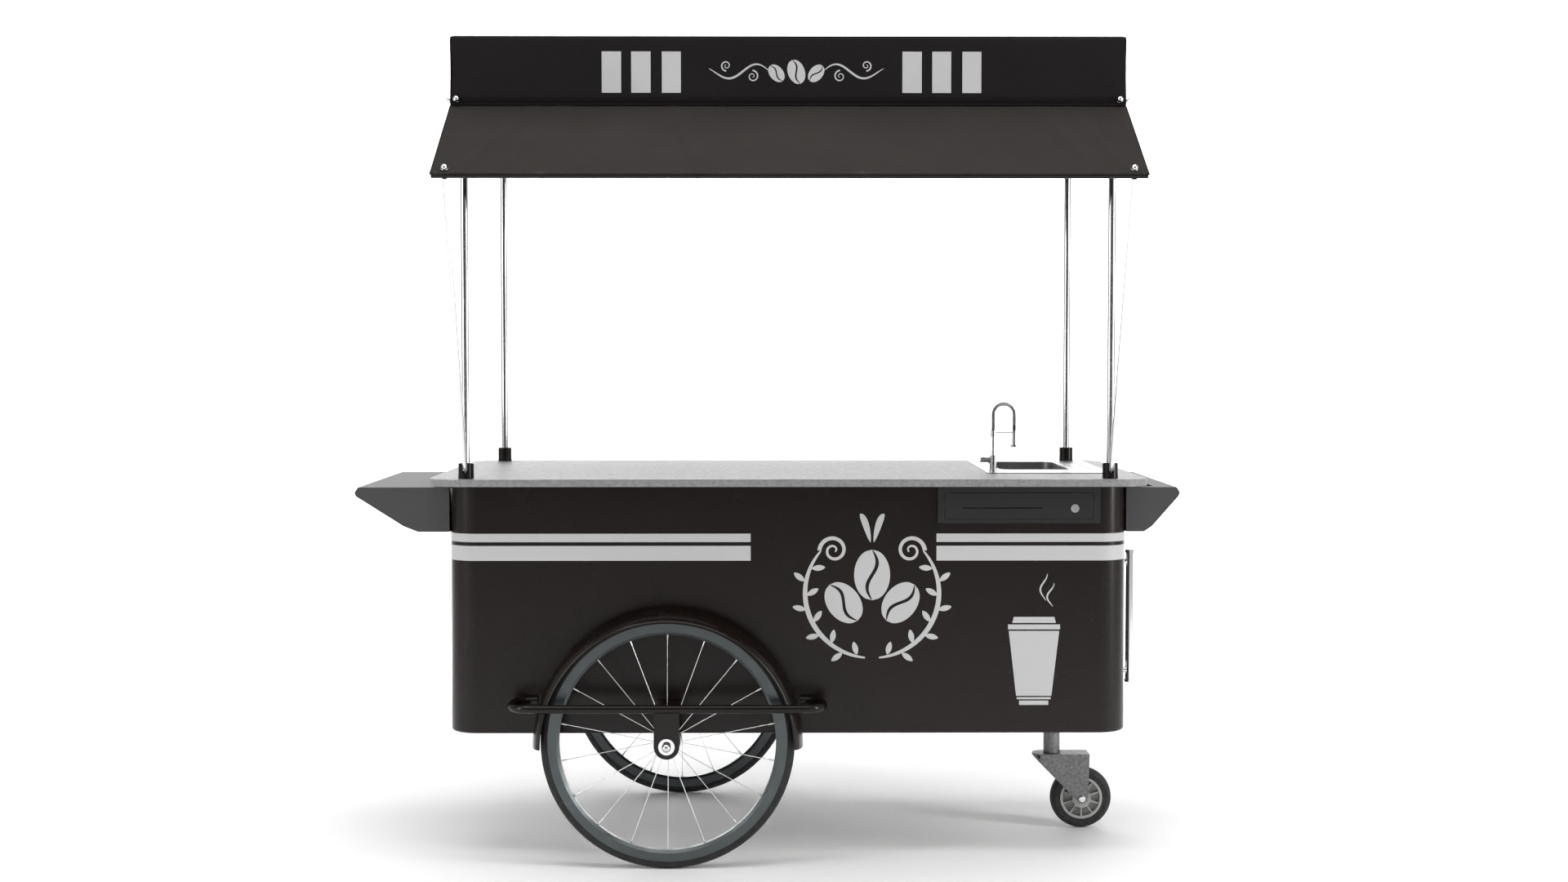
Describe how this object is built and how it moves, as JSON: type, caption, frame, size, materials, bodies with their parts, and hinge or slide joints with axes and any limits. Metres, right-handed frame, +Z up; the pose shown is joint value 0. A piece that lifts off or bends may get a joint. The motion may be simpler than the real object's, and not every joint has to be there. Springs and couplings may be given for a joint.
{
  "type": "push vending cart",
  "caption": "Push cart for selling coffee: steel cabinet on spoked wheels and a caster, with counter, sink, cash drawer and a fabric canopy on poles.",
  "frame": {"origin": "middle of the cart's bounding box, on the ground", "axes": "+Z up; +X along the cart towards the push handle, sink and caster; -Y towards the customer, where the canopy flap hangs; +Y towards the operator's doors"},
  "size_m": [2.182, 1.36, 2.157],
  "materials": {
    "cabinet_paint": "gloss",
    "charcoal_paint": "satin",
    "tube_paint": "gloss",
    "drawer_paint": "matt, fine texture",
    "stainless": "brushed",
    "galvanised": "zinc plated, mottled",
    "chrome": "mirror",
    "rim_alloy": "polished",
    "tyre": "matt",
    "caster_rubber": "matt",
    "caster_nylon": "satin",
    "canopy_cloth": "woven",
    "plywood": "satin lacquer",
    "tank_plastic": "translucent white",
    "clear_hose": "satin",
    "black_plastic": "satin",
    "pump_metal": "painted",
    "brass": "satin"
  },
  "bodies": {
    "cart": {"cabinet_shell": "cabinet_paint", "cabinet_floor": "plywood", "cabinet_divider": "plywood", "middle_shelf": "plywood", "counter_top": "galvanised", "door_pivot_pins": "stainless", "drawer_case": "drawer_paint", "drawer_runners": "stainless", "sink_basin": "stainless", "sink_strainer": "chrome", "waste_water_tank": "tank_plastic", "fresh_water_tank": "tank_plastic", "fresh_tank_cap": "black_plastic", "drain_pipe": "black_plastic", "water_pump": "pump_metal", "supply_hoses": "clear_hose", "faucet_body": "chrome", "faucet_nut": "brass", "side_shelf": "charcoal_paint", "side_bin": "charcoal_paint", "push_handle": "tube_paint", "wheel_bearings": "stainless", "axle_hangers": "tube_paint", "stub_axles": "stainless", "axle_cap_nuts": "chrome", "wheel_fenders": "cabinet_paint", "front_wheel_guard": "tube_paint", "rear_wheel_guard": "tube_paint", "caster_stem": "galvanised", "caster_bearing": "galvanised", "pole_sockets": "tube_paint", "poles": "chrome", "struts": "chrome", "canopy_frame": "tube_paint", "canopy_cover": "canopy_cloth", "canopy_flap": "canopy_cloth", "canopy_bolts": "chrome"},
    "front_wheel": {"front_tyre": "tyre", "front_rim": "rim_alloy", "front_spokes": "stainless", "front_hub": "chrome"},
    "rear_wheel": {"rear_tyre": "tyre", "rear_rim": "rim_alloy", "rear_spokes": "stainless", "rear_hub": "chrome"},
    "caster_swivel": {"caster_fork": "galvanised", "caster_axle": "chrome"},
    "caster_wheel": {"caster_tyre": "caster_rubber", "caster_hub": "caster_nylon"},
    "drawer": {"cash_drawer": "drawer_paint"},
    "lock": {"drawer_lock": "chrome"},
    "tap_lever": {"faucet_lever": "chrome"},
    "spout": {"faucet_column": "chrome", "faucet_spring": "chrome", "spray_hose": "clear_hose", "spray_head": "chrome"},
    "left_door_leaf": {"left_door": "cabinet_paint", "left_door_pull": "chrome"},
    "right_door_leaf": {"right_door": "cabinet_paint", "right_door_pull": "chrome"}
  },
  "joints": [
    {"name": "front_wheel_spin", "type": "hinge", "parent": "cart", "child": "front_wheel", "pos_m": [-0.26, -0.372, 0.33], "axis": [0, 1, 0], "continuous": true},
    {"name": "rear_wheel_spin", "type": "hinge", "parent": "cart", "child": "rear_wheel", "pos_m": [-0.26, 0.584, 0.33], "axis": [0, 1, 0], "continuous": true},
    {"name": "caster_turn", "type": "hinge", "parent": "cart", "child": "caster_swivel", "pos_m": [0.8, 0.106, 0.212], "axis": [0, 0, 1], "continuous": true},
    {"name": "caster_roll", "type": "hinge", "parent": "caster_swivel", "child": "caster_wheel", "pos_m": [0.882, 0.106, 0.086], "axis": [0, 1, 0], "continuous": true},
    {"name": "drawer_slide", "type": "slide", "parent": "cart", "child": "drawer", "axis": [0, -1, 0], "range_m": [0, 0.2]},
    {"name": "lock_turn", "type": "hinge", "parent": "drawer", "child": "lock", "pos_m": [0.805, -0.301, 0.932], "axis": [0, 1, 0], "range_deg": [0, 90]},
    {"name": "tap_lever_tip", "type": "hinge", "parent": "cart", "child": "tap_lever", "pos_m": [0.5907, -0.029, 1.045], "axis": [1, 0, 0], "range_deg": [0, 80]},
    {"name": "spout_swing", "type": "hinge", "parent": "cart", "child": "spout", "pos_m": [0.618, -0.029, 1.058], "axis": [0, 0, 1], "range_deg": [-120, 120]},
    {"name": "left_door_swing", "type": "hinge", "parent": "cart", "child": "left_door_leaf", "pos_m": [0.226, 0.495, 0.63], "axis": [0, 0, 1], "range_deg": [0, 100]},
    {"name": "right_door_swing", "type": "hinge", "parent": "cart", "child": "right_door_leaf", "pos_m": [0.848, 0.495, 0.63], "axis": [0, 0, 1], "range_deg": [-100, 0]}
  ]
}
